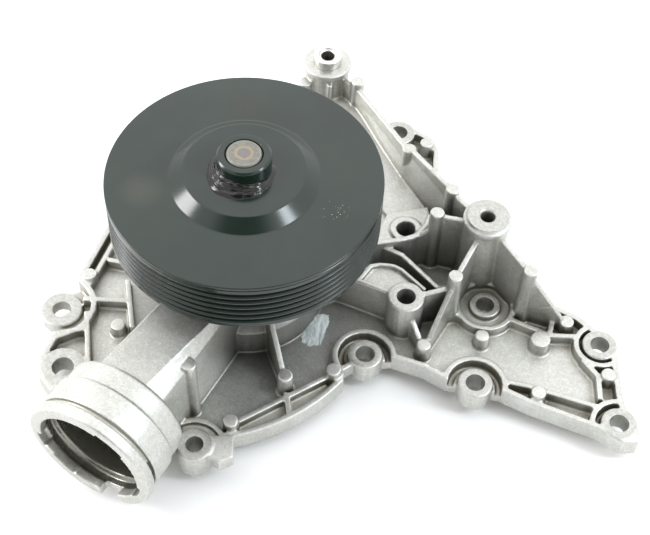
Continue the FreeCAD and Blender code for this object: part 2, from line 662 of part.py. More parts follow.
def hole_cuts():
    """Bolt holes, the threaded hole and the bush seat, all along +Z."""
    holes = []
    for label, (x, y, radius, _, top) in BOSSES.items():
        holes.append(cylinder(f"{label}_hole", radius, -1, top + 2, x, y))
    right_x, right_y = TALL_RIGHT
    top_x, top_y = TALL_TOP
    holes.append(cylinder("tall_right_hole", thread_radius, thread_floor, tall_boss_top + 1,
                          right_x, right_y))
    sink = cone("tall_right_sink", thread_radius, 4.4, tall_boss_top - 1.0, tall_boss_top + 0.01,
                right_x, right_y)
    holes.append(sink)
    holes.append(cylinder("tall_top_hole", bush_radius - 1.4, -1, tall_boss_top + 1, top_x, top_y))
    holes.append(cylinder("tall_top_seat", bush_radius, tall_boss_top - 14, tall_boss_top + 1, top_x, top_y))
    return holes


def chamber_cuts():
    """Impeller chamber, seal bore, bearing bore, weep hole and coolant channels."""
    chamber = cylinder("chamber", chamber_radius, -1, chamber_roof)
    seal_bore = cylinder("seal_bore", seal_bore_radius, chamber_roof - 1, seal_bore_top)
    bearing_bore = cylinder("bearing_bore", race_outer_radius, seal_bore_top - 1, tower_top + 1)
    weep = cylinder("weep_hole", 2.5, 0, 40)
    toward = FreeCAD.Rotation(FreeCAD.Vector(0, 0, 1), 140)
    toward = toward.multiply(FreeCAD.Rotation(FreeCAD.Vector(0, 1, 0), 90))
    weep.Placement = FreeCAD.Placement(FreeCAD.Vector(0, 0, 33.6), toward)
    discharge = prism("discharge_channel", DISCHARGE, crossover_top - 3.0, -1)
    relief = outline_block("underside_relief", OUTLINE, 7.0, 2.4, -1)
    lands = [cylinder(f"{label}_land", 10.5, -1, 4, *BOSSES[label][:2]) for label in BOSSES]
    lands.append(cylinder("tall_right_land", 14.0, -1, 4, *TALL_RIGHT))
    lands.append(cylinder("tall_top_land", 14.0, -1, 4, *TALL_TOP))
    lands.append(stretched_ring("chamber_land", 6.0, 5.0, -1))
    lands.append(prism("discharge_land", [
        (8, 22), (52, 14), (86, 40), (54, 96), (36, 106), (14, 94)], 5.0, -1))
    shallow = cut("underside_pocket", relief, fuse("underside_lands", lands))
    groove = seal_loop("chamber_groove", 0.0, 2.4, -0.4)
    return [chamber, seal_bore, bearing_bore, weep, discharge, shallow, groove]


def pump_housing():
    """The whole die casting as one solid."""
    solid = fuse("casting", base_casting() + raised_blocks() + tall_bosses() + tower()
                 + [neck_outside(), duct(), leaning_face()])
    tools = fuse("casting_cuts", hole_cuts() + chamber_cuts() + neck_cuts())
    housing = cut("pump_housing", solid, tools)
    housing.Refine = True
    return housing


# ---------------------------------------------------------------- fixed small parts
def bearing_outer_race():
    ring = turned("race_ring", [
        (race_inner_radius, race_bottom), (race_outer_radius - 0.5, race_bottom),
        (race_outer_radius, race_bottom + 0.5), (race_outer_radius, race_top - 0.5),
        (race_outer_radius - 0.5, race_top), (race_inner_radius, race_top)])
    track = doc.addObject("Part::Torus", "race_track")
    bind(track, Radius1=ball_circle, Radius2=ball_radius + running_gap)
    place(track, 0, 0, ball_height)
    return cut("bearing_outer_race", ring, track)


def bearing_seal(label, low):
    return turned(label, [
        (shaft_radius + 0.1, low), (race_inner_radius, low), (race_inner_radius, low + 1.6),
        (shaft_radius + 1.6, low + 1.6), (shaft_radius + 1.2, low + 0.9), (shaft_radius + 0.1, low + 0.7)])


def seal_case():
    return turned("seal_case", [
        (seal_bore_radius - 1, 21.0), (seal_bore_radius, 21.0), (seal_bore_radius, 30.0),
        (9.2, 30.0), (9.2, 29.0), (seal_bore_radius - 1, 29.0)])


def seal_carbon_ring():
    return turned("seal_carbon_ring", [
        (8.7, 19.04), (10.6, 19.04), (10.6, 20.2), (11.3, 20.2), (11.3, 22.6), (8.7, 22.6)])


def seal_bellows():
    return turned("seal_bellows", [
        (8.5, 22.6), (11.3, 22.6), (11.3, 24.0), (10.0, 24.8), (11.2, 25.6), (10.0, 26.4),
        (11.2, 27.4), (11.2, 29.0), (9.3, 29.0), (9.3, 27.6), (8.6, 26.6)])


def seal_spring():
    """Compression spring of four turns round the bellows."""
    wire, coil, pitch, height = 0.55, 12.9, 1.9, 7.4
    helix = Part.makeHelix(pitch, height - 2 * wire, coil)
    section = Part.Wire([Part.makeCircle(wire, FreeCAD.Vector(coil, 0, 0), FreeCAD.Vector(0, 1, 0))])
    spring = doc.addObject("Part::Feature", "seal_spring")
    spring.Shape = Part.Wire(helix).makePipeShell([section], True, True)
    return place(spring, 0, 0, 21.5)


def weep_plug():
    """Filter plug pressed into the outer end of the weep hole."""
    stem = doc.addObject("Part::Cylinder", "weep_plug_stem")
    bind(stem, Radius=2.5, Height=6.0)
    head = doc.addObject("Part::Cylinder", "weep_plug_head")
    bind(head, Radius=4.0, Height=1.6)
    toward = FreeCAD.Rotation(FreeCAD.Vector(0, 0, 1), 140)
    toward = toward.multiply(FreeCAD.Rotation(FreeCAD.Vector(0, 1, 0), 90))
    out = toward.multVec(UP)
    level = FreeCAD.Vector(0, 0, 33.6)
    stem.Placement = FreeCAD.Placement(level + out * 21.4, toward)
    head.Placement = FreeCAD.Placement(level + out * 27.4, toward)
    return fuse("weep_plug", [stem, head])


def boss_bush():
    """Steel spacer bush standing out of the tall top boss."""
    x, y = TALL_TOP
    high = tall_boss_top + 3.8
    low = high - bush_length
    sleeve = cylinder("bush_sleeve", bush_radius, low, top_disc + 1, x, y)
    collar = cylinder("bush_collar", bush_radius + 1.85, top_disc, high, x, y)
    hole = cylinder("bush_hole", bush_bore_radius, low - 1, high + 1, x, y)
    return cut("boss_bush", fuse("bush_body", [sleeve, collar]), hole)


def chamber_seal():
    return seal_loop("chamber_seal", 0.1, 2.0, 0)


# ---------------------------------------------------------------- rotating parts
def pump_shaft():
    blank = turned("shaft_blank", [
        (0, shaft_bottom), (shaft_radius - 0.8, shaft_bottom), (shaft_radius, shaft_bottom + 0.8),
        (shaft_radius, shaft_top - 0.5), (shaft_radius - 0.5, shaft_top), (1.4, shaft_top),
        (0, shaft_top - 1.2)])
    track = doc.addObject("Part::Torus", "shaft_track")
    bind(track, Radius1=ball_circle, Radius2=ball_radius + running_gap)
    place(track, 0, 0, ball_height)
    return cut("pump_shaft", blank, track)


def pulley():
    """Pressed cup with a raised centre and a six-rib belt track."""
    top = pulley_face
    low = pulley_face - rim_height
    profile = [(hub_radius, top + cone_rise - plate), (hub_radius, top + cone_rise),
               (cone_top_radius, top + cone_rise), (cone_foot_radius, top),
               (pulley_radius - 0.7, top), (pulley_radius, top - 0.7),
               (pulley_radius, top - 1.5), (pulley_radius - 0.5, top - 1.8), (pulley_radius, top - 2.1)]
    for index in range(GROOVES):
        middle = top - first_groove - groove_pitch * index
        profile += [(pulley_radius, middle + 1.35), (pulley_radius - groove_depth, middle + 0.35),
                    (pulley_radius - groove_depth, middle - 0.35), (pulley_radius, middle - 1.35)]
    profile += [(pulley_radius, low + 1.2), (pulley_radius - 1.0, low), (rim_inner_radius, low),
                (rim_inner_radius, top - plate), (cone_foot_radius - 1.2, top - plate),
                (cone_top_radius - 1.2, top + cone_rise - plate)]
    return turned("pulley", profile)


def pulley_hub():
    top = shaft_top - 0.4
    plate_top = pulley_face + cone_rise
    return turned("pulley_hub", [
        (shaft_radius, plate_top - 7), (19.0, plate_top - 7), (19.0, plate_top - plate),
        (hub_radius, plate_top - plate), (hub_radius, top - 0.8), (hub_radius - 0.8, top),
        (shaft_radius, top)])


def locking_bead():
    low = pulley_face + cone_rise
    return turned("locking_bead", [
        (hub_radius, low), (hub_radius + 6.4, low), (hub_radius + 5.4, low + 1.6),
        (hub_radius + 2.6, low + 3.6), (hub_radius, low + 4.2)])


def impeller():
    """Hub and back plate with backward-curved vanes on the engine side."""
    body = doc.addObject("PartDesign::Body", "impeller")
    sketch = new_sketch(body, "impeller", "XZ_Plane")
    closed_loop(sketch, [
        (shaft_radius, shaft_bottom), (11.5, shaft_bottom), (12.5, impeller_plate_low),
        (impeller_radius, impeller_plate_low), (impeller_radius, impeller_plate_high),
        (13.6, impeller_plate_high), (13.6, 17.6), (12.8, 17.6), (12.8, 15.0), (shaft_radius, 15.0)])
    spin = body.newObject("PartDesign::Revolution", "impeller_turn")
    spin.Profile = sketch
    spin.ReferenceAxis = (sketch, ["V_Axis"])
    spin.Angle = 360
    vane = new_sketch(body, "vane", "XY_Plane")
    inner = FreeCAD.Vector(11.0, 0, 0)
    outer = FreeCAD.Vector(number(impeller_radius) * math.cos(-0.95) - 0.2,
                           number(impeller_radius) * math.sin(-0.95), 0)
    bow = FreeCAD.Vector(18.6, -10.0, 0)
    shift = FreeCAD.Vector(-0.7, -0.7, 0) * number(vane_thickness)
    front = Part.Arc(inner, bow, outer)
    back = Part.Arc(inner + shift, bow + shift, outer + shift)
    vane.addGeometry(front, False)
    vane.addGeometry(back, False)
    vane.addGeometry(Part.LineSegment(inner, inner + shift), False)
    vane.addGeometry(Part.LineSegment(outer, outer + shift), False)
    pad = body.newObject("PartDesign::Pad", "vane_pad")
    pad.Profile = vane
    pad.Type = "Length"
    bind(pad, Length=impeller_plate_low + 0.5)
    doc.recompute()
    pattern = body.newObject("PartDesign::PolarPattern", "vane_pattern")
    pattern.Originals = [pad]
    pattern.Axis = (origin_axis(body, "Z_Axis"), [""])
    pattern.Angle = 360
    pattern.Occurrences = VANES
    body.Tip = pattern
    return body


def counter_ring_seat():
    """Rubber cup that holds the ceramic ring in the impeller hub."""
    return turned("counter_ring_seat", [
        (8.4, 15.0), (12.8, 15.0), (12.8, 18.2), (12.1, 18.2), (12.1, 15.9), (8.4, 15.9)])


def counter_ring():
    return turned("counter_ring", [(8.5, 15.9), (12.1, 15.9), (12.1, 18.6), (11.7, 19.0), (8.5, 19.0)])


def slinger():
    """Thin disc on the shaft that throws drops outwards to the weep hole."""
    return turned("slinger", [
        (shaft_radius, 31.6), (9.2, 31.6), (9.2, 33.0), (12.4, 33.4), (12.4, 34.2), (shaft_radius, 34.2)])


# ---------------------------------------------------------------- rolling elements
def round_the_shaft(count, radius):
    """Evenly spaced places on a circle about the shaft."""
    for index in range(count):
        angle = 2 * math.pi * index / count
        yield index, radius * math.cos(angle), radius * math.sin(angle), math.degrees(angle)


def ball_row():
    balls = []
    pockets = []
    for index, x, y, _ in round_the_shaft(BALLS, number(ball_circle)):
        ball = doc.addObject("Part::Sphere", f"ball_{index}")
        bind(ball, Radius=ball_radius)
        balls.append(place(ball, x, y, ball_height))
        pocket = doc.addObject("Part::Sphere", f"ball_pocket_{index}")
        bind(pocket, Radius=ball_radius + 0.1)
        pockets.append(place(pocket, x, y, ball_height))
    ring = tube("ball_cage_ring", 11.2, 9.0, ball_height - 1.8, ball_height + 4.4)
    cage = cut("ball_cage", ring, fuse("ball_pockets", pockets))
    return group("ball_set", balls), cage


def roller_row():
    rollers = []
    pockets = []
    for index, x, y, _ in round_the_shaft(ROLLERS, number(roller_circle)):
        low, high = roller_bottom, roller_bottom + roller_length
        rollers.append(cylinder(f"roller_{index}", roller_radius, low, high, x, y))
        pockets.append(cylinder(f"roller_pocket_{index}", roller_radius + 0.1, low - 0.1, high + 0.1, x, y))
    ring = tube("roller_cage_ring", 11.2, 9.0, roller_bottom - 1.6, roller_bottom + roller_length + 1.6)
    cage = cut("roller_cage", ring, fuse("roller_pockets", pockets))
    return group("roller_set", rollers), cage


# ---------------------------------------------------------------- assembly
nodes = [
    pump_housing(), chamber_seal(), bearing_outer_race(),
    bearing_seal("bearing_seal_rear", race_bottom + 0.4),
    bearing_seal("bearing_seal_front", race_top - 2.0), seal_case(), seal_carbon_ring(), seal_bellows(),
    seal_spring(), weep_plug(), boss_bush(), pump_shaft(), pulley(), pulley_hub(), locking_bead(),
    impeller(), counter_ring_seat(), counter_ring(), slinger(), *ball_row(), *roller_row(),
]
doc.recompute()

for thing in doc.Objects:
    if "Invalid" in thing.State or "Error" in thing.State:
        raise RuntimeError(f"{thing.Label} did not build: {thing.State}")
os.makedirs("parts", exist_ok=True)
for node in nodes:
    if node.Shape.isNull() or not node.Shape.isValid():
        raise RuntimeError(f"{node.Label} has no valid shape")
    node.Shape.exportStep(f"parts/{node.Label}.step")
    print(f"{node.Label:22s} solids {len(node.Shape.Solids)}  volume {node.Shape.Volume:10.1f}")
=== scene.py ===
import math

import bmesh
import bpy
from mathutils import Matrix, Vector, noise


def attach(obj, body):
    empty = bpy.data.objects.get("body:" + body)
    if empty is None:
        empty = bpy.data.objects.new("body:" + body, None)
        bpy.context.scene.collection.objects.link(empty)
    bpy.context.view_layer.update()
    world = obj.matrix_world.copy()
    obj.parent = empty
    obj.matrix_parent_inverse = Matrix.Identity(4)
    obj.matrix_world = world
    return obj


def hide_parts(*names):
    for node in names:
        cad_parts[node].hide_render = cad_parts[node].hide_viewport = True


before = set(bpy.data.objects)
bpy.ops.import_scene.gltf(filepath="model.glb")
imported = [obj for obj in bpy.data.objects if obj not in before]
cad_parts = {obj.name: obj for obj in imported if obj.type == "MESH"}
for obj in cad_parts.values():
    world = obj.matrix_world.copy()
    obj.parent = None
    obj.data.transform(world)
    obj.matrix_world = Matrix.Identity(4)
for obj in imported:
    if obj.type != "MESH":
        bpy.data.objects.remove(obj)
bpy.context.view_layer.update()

scene = bpy.context.scene
scene.view_settings.view_transform = "Standard"
MM = 0.001


# ---------------------------------------------------------------- camera
FOCAL_PIXELS = 1314.504
FRAME_PIXELS = 650
CAMERA_PITCH = 0.9190
CAMERA_ROLL = 0.0519
CAMERA_PLACE = Vector((37.82, -385.74, 531.51)) * MM


def make_camera():
    data = bpy.data.cameras.new("camera")
    data.sensor_width = 36
    data.lens = FOCAL_PIXELS / FRAME_PIXELS * data.sensor_width
    data.clip_start = 0.01
    camera = bpy.data.objects.new("camera", data)
    scene.collection.objects.link(camera)
    forward = Vector((0, math.cos(CAMERA_PITCH), -math.sin(CAMERA_PITCH)))
    level_up = Vector((0, math.sin(CAMERA_PITCH), math.cos(CAMERA_PITCH)))
    right = Vector((1, 0, 0)) * math.cos(CAMERA_ROLL) + level_up * math.sin(CAMERA_ROLL)
    up = level_up * math.cos(CAMERA_ROLL) - Vector((1, 0, 0)) * math.sin(CAMERA_ROLL)
    turn = Matrix((right, up, -forward)).transposed().to_4x4()
    camera.matrix_world = Matrix.Translation(CAMERA_PLACE) @ turn
    scene.camera = camera


make_camera()


# ---------------------------------------------------------------- node helpers
# the hose neck in metres: middle of its mouth, heading of its axis, the bores' radii and ends
NECK_MOUTH = Vector((-59.5, -113.2, 30.9)) * MM
NECK_HEADING = math.radians(63)
NECK_BORE_RADIUS = 0.0265
NECK_BORE_END = 0.027
PASSAGE_RADIUS = 0.01415
PASSAGE_END = 0.079


class Shader:
    """A material with short calls for its nodes."""

    def __init__(self, name, **settings):
        self.material = bpy.data.materials.new(name)
        self.material.use_nodes = True
        self.tree = self.material.node_tree
        self.surface = self.tree.nodes["Principled BSDF"]
        self.place = self.node("ShaderNodeTexCoord").outputs["Object"]
        for socket, value in settings.items():
            self.surface.inputs[socket.replace("_", " ")].default_value = value

    def node(self, kind, **settings):
        made = self.tree.nodes.new(kind)
        for name, value in settings.items():
            setattr(made, name, value)
        return made

    def feed(self, source, socket):
        if isinstance(source, (int, float, tuple)):
            socket.default_value = source
        else:
            self.tree.links.new(source, socket)

    def noise(self, scale, detail=3.0, rough=0.55, stretch=None):
        grain = self.node("ShaderNodeTexNoise")
        grain.inputs["Scale"].default_value = scale
        grain.inputs["Detail"].default_value = detail
        grain.inputs["Roughness"].default_value = rough
        source = self.place
        if stretch:
            mapping = self.node("ShaderNodeMapping")
            mapping.inputs["Scale"].default_value = stretch
            self.feed(source, mapping.inputs["Vector"])
            source = mapping.outputs[0]
        self.feed(source, grain.inputs["Vector"])
        return grain.outputs["Fac"]

    def math(self, operation, first, second=0.0, third=0.0):
        step = self.node("ShaderNodeMath", operation=operation)
        for socket, source in zip(step.inputs, (first, second, third)):
            self.feed(source, socket)
        return step.outputs[0]

    def span(self, source, low, high, to_low=0.0, to_high=1.0):
        step = self.node("ShaderNodeMapRange", interpolation_type="SMOOTHSTEP")
        self.feed(source, step.inputs["Value"])
        for name, value in (("From Min", low), ("From Max", high), ("To Min", to_low), ("To Max", to_high)):
            step.inputs[name].default_value = value
        return step.outputs["Result"]

    def blend(self, share, first, second):
        step = self.node("ShaderNodeMix", data_type="RGBA")
        self.feed(share, step.inputs["Factor"])
        colours = [socket for socket in step.inputs if socket.type == "RGBA"]
        for socket, source in zip(colours, (first, second)):
            self.feed(source if not isinstance(source, tuple) else (*source[:3], 1.0), socket)
        return next(socket for socket in step.outputs if socket.type == "RGBA")

    def bump(self, height, strength, depth, normal=None):
        step = self.node("ShaderNodeBump")
        step.inputs["Strength"].default_value = strength
        step.inputs["Distance"].default_value = depth
        self.feed(height, step.inputs["Height"])
        if normal is not None:
            self.feed(normal, step.inputs["Normal"])
        return step.outputs["Normal"]

    def crevice(self, distance):
        step = self.node("ShaderNodeAmbientOcclusion", samples=6, only_local=True)
        step.inputs["Distance"].default_value = distance
        return step.outputs["AO"]

    def radius_from(self, x=0.0, y=0.0):
        """Distance from an axis along Z through x, y."""
        split = self.node("ShaderNodeSeparateXYZ")
        self.feed(self.place, split.inputs[0])
        across = self.math("SUBTRACT", split.outputs["X"], x)
        along = self.math("SUBTRACT", split.outputs["Y"], y)
        squares = self.math("ADD", self.math("MULTIPLY", across, across), self.math("MULTIPLY", along, along))
        return self.math("SQRT", squares)

    def vector(self, operation, first, second=None):
        step = self.node("ShaderNodeVectorMath", operation=operation)
        self.feed(first, step.inputs[0])
        if second is not None:
            step.inputs[1].default_value = second
        return step.outputs

    def neck_bore(self):
        """1 inside the hose neck's bore and passage, which are made smoother and get painted shade."""
        inward = Vector((math.cos(NECK_HEADING), math.sin(NECK_HEADING), 0))
        offset = self.vector("SUBTRACT", self.place, NECK_MOUTH)["Vector"]
        depth = self.vector("DOT_PRODUCT", offset, inward)["Value"]
        across = self.vector("CROSS_PRODUCT", offset, inward)["Vector"]
        reach = self.vector("LENGTH", across)["Value"]

        def within(radius, end, soft):
            near = self.span(reach, radius - soft, radius + soft, 1.0, 0.0)
            return self.math("MULTIPLY", near, self.span(depth, end - 0.001, end + 0.001, 1.0, 0.0))

        inside = self.math("MAXIMUM", within(NECK_BORE_RADIUS, NECK_BORE_END, 0.0003),
                           within(PASSAGE_RADIUS, PASSAGE_END, 0.00035))
        return self.math("MULTIPLY", inside, self.span(depth, 0.0035, 0.0055))

    def set(self, **sources):
        for name, source in sources.items():
            self.feed(source, self.surface.inputs[name.replace("_", " ")])
        return self.material


# ---------------------------------------------------------------- materials
def cast_aluminium():
    """Die-cast skin: warm grey and mottled, edges worn and lightened as a painted highlight, painted shade in
    crevices, beneath the pulley and in the hose neck.
    """
    s = Shader("cast_aluminium", Metallic=0.8)
    # convex edges lightened almost to white: edge wear plus a painted highlight
    edges = s.span(s.node("ShaderNodeNewGeometry").outputs["Pointiness"], 0.515, 0.60, 0.0, 0.7)
    # painted shade: darker towards the pulley's axis, where the pulley shades the casting
    painted_shade_near_axis = s.span(s.radius_from(), 0.034, 0.058, 0.42, 1.0)
    bore = s.neck_bore()
    clouds = s.noise(38, 4, 0.6)
    mottle = s.noise(420, 3, 0.6)
    grain = s.noise(1300, 3, 0.7)
    streaks = s.noise(90, 3, 0.55, stretch=(1.0, 0.35, 0.6))
    base = s.blend(s.span(clouds, 0.3, 0.72), (0.47, 0.47, 0.435), (0.57, 0.57, 0.54))
    base = s.blend(s.span(mottle, 0.35, 0.75, 0.0, 0.35), base, (0.74, 0.74, 0.71))
    base = s.blend(s.span(streaks, 0.55, 0.8, 0.0, 0.3), base, (0.44, 0.44, 0.41))
    base = s.blend(s.span(grain, 0.52, 0.72, 0.0, 0.55), base, (0.86, 0.87, 0.85))
    base = s.blend(s.span(grain, 0.30, 0.46, 0.5, 0.0), base, (0.36, 0.36, 0.33))
    # painted shade in tight crevices, with a warm tarnish tint
    near = s.span(s.crevice(0.007), 0.25, 0.9)
    base = s.blend(near, (0.27, 0.255, 0.20), base)
    # painted shade: larger hollows and the area round the pulley's axis darkened almost to black
    painted_wide_shade = s.span(s.crevice(0.05), 0.05, 0.45, 0.45, 1.0)
    base = s.blend(s.math("MULTIPLY", painted_wide_shade, painted_shade_near_axis), (0.05, 0.05, 0.045), base)
    base = s.blend(edges, base, (0.92, 0.92, 0.90))
    # painted shade inside the hose neck's bore and passage
    base = s.blend(s.math("MULTIPLY", bore, 0.75), base, (0.15, 0.145, 0.115))
    rough = s.math("MULTIPLY_ADD", mottle, 0.16, 0.34)
    rough = s.math("ADD", rough, s.span(clouds, 0.35, 0.7, 0.0, 0.08))
    rough = s.math("MULTIPLY", rough, s.math("MULTIPLY_ADD", bore, -0.45, 1.0))
    normal = s.bump(mottle, 0.35, 0.00016)
    normal = s.bump(grain, 0.45, 0.00012, normal)
    normal = s.bump(clouds, 0.3, 0.0006, normal)
    return s.set(Base_Color=base, Roughness=rough, Normal=normal)


def machined_aluminium():
    """Faced bolt seats, with turning marks read from the rings' own radius."""
    s = Shader("machined_aluminium", Metallic=1.0)
    turn = s.node("ShaderNodeAttribute", attribute_name="turn").outputs["Fac"]
    marks = s.math("SINE", s.math("MULTIPLY", turn, 16000.0))
    patches = s.noise(700, 3)
    base = s.blend(s.span(patches, 0.35, 0.7), (0.42, 0.42, 0.39), (0.54, 0.54, 0.52))
    rough = s.math("MULTIPLY_ADD", patches, 0.2, 0.34)
    return s.set(Base_Color=base, Roughness=rough, Normal=s.bump(marks, 0.25, 0.00002))


def black_coat():
    """Satin black dip coat with dust, a faint smudge and a patch of specks on the face."""
    s = Shader("black_coat", Metallic=0.0, IOR=1.55)
    clouds = s.noise(30, 3)
    peel = s.noise(900, 2, 0.5)
    dust = s.span(s.noise(2600, 2, 0.6), 0.71, 0.76)

    def spot(x, y, radius, soft):
        return s.span(s.radius_from(x * MM, y * MM), radius * MM, (radius + soft) * MM, 1.0, 0.0)

    specks = s.node("ShaderNodeTexVoronoi", feature="F1")
    specks.inputs["Scale"].default_value = 900
    s.feed(s.place, specks.inputs["Vector"])
    dots = s.span(specks.outputs["Distance"], 0.12, 0.22, 1.0, 0.0)
    patch = s.math("MULTIPLY", s.math("MULTIPLY", dots, spot(41.0, -17.5, 3.0, 5.0)),
                   s.span(s.noise(420, 2), 0.46, 0.56))
    smudge = s.math("MULTIPLY", spot(-45.2, -11.2, 1.0, 12.0), 0.5)
    stain = s.math("MULTIPLY", spot(-3.2, 42.6, 1.0, 11.0), 0.45)
    base = s.blend(s.span(clouds, 0.3, 0.7), (0.006, 0.014, 0.010), (0.011, 0.022, 0.016))
    base = s.blend(smudge, base, (0.050, 0.052, 0.036))
    base = s.blend(stain, base, (0.020, 0.014, 0.008))
    base = s.blend(s.math("MULTIPLY", dust, 0.05), base, (0.5, 0.5, 0.48))
    base = s.blend(s.math("MULTIPLY", patch, 0.8), base, (0.62, 0.6, 0.52))
    rough = s.math("MULTIPLY_ADD", clouds, 0.06, 0.15)
    rough = s.math("ADD", rough, s.math("MULTIPLY", patch, 0.3))
    normal = s.bump(peel, 0.06, 0.00004)
    normal = s.bump(patch, 0.5, 0.0001, normal)
    return s.set(Base_Color=base, Roughness=rough, Normal=normal)


def turned_steel(name, dark, light, rough, rings=9000.0):
    """Ground or turned steel with rings about the shaft and patchy tone."""
    s = Shader(name, Metallic=1.0)
    reach = s.radius_from()
    marks = s.math("SINE", s.math("MULTIPLY", reach, rings))
    patches = s.noise(300, 4)
    base = s.blend(s.span(patches, 0.3, 0.7), dark, light)
    roughness = s.math("MULTIPLY_ADD", patches, 0.15, rough)
    return s.set(Base_Color=base, Roughness=roughness, Normal=s.bump(marks, 0.12, 0.00002))


def shaft_steel():
    """Shaft end: grey ground steel, brown heat rings round the centre, small marks."""
    s = Shader("shaft_steel", Metallic=0.75)
    reach = s.radius_from()
    wander = s.math("MULTIPLY_ADD", s.noise(500, 3), 0.0012, -0.0006)
    reach_soft = s.math("ADD", reach, wander)
    ring = s.math("MULTIPLY", s.span(reach_soft, 0.0026, 0.0033),
                  s.span(reach_soft, 0.0038, 0.0046, 1.0, 0.0))
    core = s.span(reach_soft, 0.0024, 0.0031, 1.0, 0.0)
    edge = s.span(reach_soft, 0.0062, 0.0074)
    patches = s.noise(700, 4, 0.6)
    base = s.blend(s.span(patches, 0.3, 0.7), (0.17, 0.17, 0.15), (0.24, 0.235, 0.21))
    base = s.blend(s.math("MULTIPLY", ring, 0.75), base, (0.34, 0.27, 0.18))
    base = s.blend(s.math("MULTIPLY", core, 0.7), base, (0.20, 0.185, 0.19))
    base = s.blend(s.math("MULTIPLY", edge, 0.5), base, (0.30, 0.29, 0.26))
    marks = s.math("SINE", s.math("MULTIPLY", reach, 11000.0))
    rough = s.math("MULTIPLY_ADD", patches, 0.2, 0.36)
    normal = s.bump(marks, 0.2, 0.00003)
    return s.set(Base_Color=base, Roughness=rough, Normal=s.bump(patches, 0.2, 0.0001, normal))


def moulded(name, dark, light, rough, scale=900.0, grain=0.00005, **settings):
    """Rubber, plastic, carbon or ceramic: two close tones with fine grain."""
    s = Shader(name, **settings)
    patches = s.noise(scale / 12, 3)
    fine = s.noise(scale, 3, 0.6)
    base = s.blend(s.span(patches, 0.3, 0.7), dark, light)
    roughness = s.math("MULTIPLY_ADD", fine, 0.18, rough)
    return s.set(Base_Color=base, Roughness=roughness, Normal=s.bump(fine, 0.3, grain))


def sealant():
    """Glossy cured compound, black, with fine drag marks and a painted amber glint in random patches."""
    s = Shader("sealant", IOR=1.55)
    ripple = s.noise(420, 3, 0.6)
    # painted amber glint, placed by noise
    amber = s.span(s.noise(130, 2), 0.62, 0.72, 0.0, 0.5)
    base = s.blend(amber, (0.003, 0.003, 0.003), (0.10, 0.05, 0.012))
    rough = s.math("MULTIPLY_ADD", ripple, 0.08, 0.04)
    return s.set(Base_Color=base, Roughness=rough, Normal=s.bump(ripple, 0.6, 0.0004))


def paint_daub():
    """Dried marking paint: milky blue-white with brush ridges."""
    s = Shader("marking_paint", IOR=1.45)
    ridges = s.noise(260, 4, 0.6, stretch=(1.0, 0.3, 1.0))
    base = s.blend(s.span(ridges, 0.35, 0.7), (0.50, 0.56, 0.56), (0.88, 0.92, 0.92))
    rough = s.math("MULTIPLY_ADD", ridges, 0.2, 0.3)
    return s.set(Base_Color=base, Roughness=rough, Normal=s.bump(ridges, 0.6, 0.0003))


CAST = cast_aluminium()
MACHINED = machined_aluminium()
COAT = black_coat()
SHAFT = shaft_steel()
STEEL = turned_steel("bearing_steel", (0.50, 0.49, 0.48), (0.62, 0.61, 0.60), 0.2)
ZINC = turned_steel("zinc_steel", (0.60, 0.59, 0.56), (0.74, 0.73, 0.70), 0.26, 5200.0)
BRASS = turned_steel("brass_case", (0.60, 0.42, 0.18), (0.78, 0.60, 0.30), 0.26)
SEALANT = sealant()
PAINT = paint_daub()
RUBBER = moulded("black_rubber", (0.016, 0.016, 0.017), (0.032, 0.032, 0.033), 0.55, grain=0.00008)
BROWN_RUBBER = moulded("brown_rubber", (0.07, 0.035, 0.02), (0.11, 0.06, 0.035), 0.5)
CARBON = moulded("carbon", (0.03, 0.03, 0.033), (0.055, 0.055, 0.06), 0.3)
GREY_PLASTIC = moulded("grey_plastic", (0.06, 0.06, 0.062), (0.10, 0.10, 0.10), 0.45)
IMPELLER_PLASTIC = moulded("impeller_plastic", (0.022, 0.021, 0.02), (0.045, 0.042, 0.038), 0.42, 1500.0)
CERAMIC = moulded("ceramic_white", (0.78, 0.76, 0.70), (0.86, 0.85, 0.80), 0.12)
CAGE_PLASTIC = moulded("cage_plastic", (0.42, 0.33, 0.18), (0.55, 0.45, 0.27), 0.4)

NODE_MATERIALS = {
    "pump_housing": CAST, "chamber_seal": RUBBER, "bearing_outer_race": STEEL,
    "bearing_seal_rear": BROWN_RUBBER, "bearing_seal_front": BROWN_RUBBER, "seal_case": BRASS,
    "seal_carbon_ring": CARBON, "seal_bellows": RUBBER, "seal_spring": STEEL,
    "weep_plug": GREY_PLASTIC, "boss_bush": ZINC, "pump_shaft": SHAFT, "pulley": COAT,
    "pulley_hub": COAT, "locking_bead": SEALANT, "impeller": IMPELLER_PLASTIC,
    "counter_ring_seat": RUBBER, "counter_ring": CERAMIC, "slinger": ZINC, "ball_set": STEEL,
    "ball_cage": CAGE_PLASTIC, "roller_set": STEEL, "roller_cage": CAGE_PLASTIC,
}
for node_name, node_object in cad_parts.items():
    node_object.data.materials.clear()
    node_object.data.materials.append(NODE_MATERIALS[node_name])


# ---------------------------------------------------------------- mesh helpers
def new_piece(name, mesh, material, body, slot, *nodes):
    piece = bpy.data.objects.new(name, mesh)
    scene.collection.objects.link(piece)
    mesh.materials.clear()
    mesh.materials.append(material)
    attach(piece, body)
    if nodes:
        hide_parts(*nodes)


def angles(segments):
    return [2 * math.pi * step / segments for step in range(segments)]


def smooth(mesh, angle):
    for face in mesh.polygons:
        face.use_smooth = True
    mesh.set_sharp_from_angle(angle=math.radians(angle))


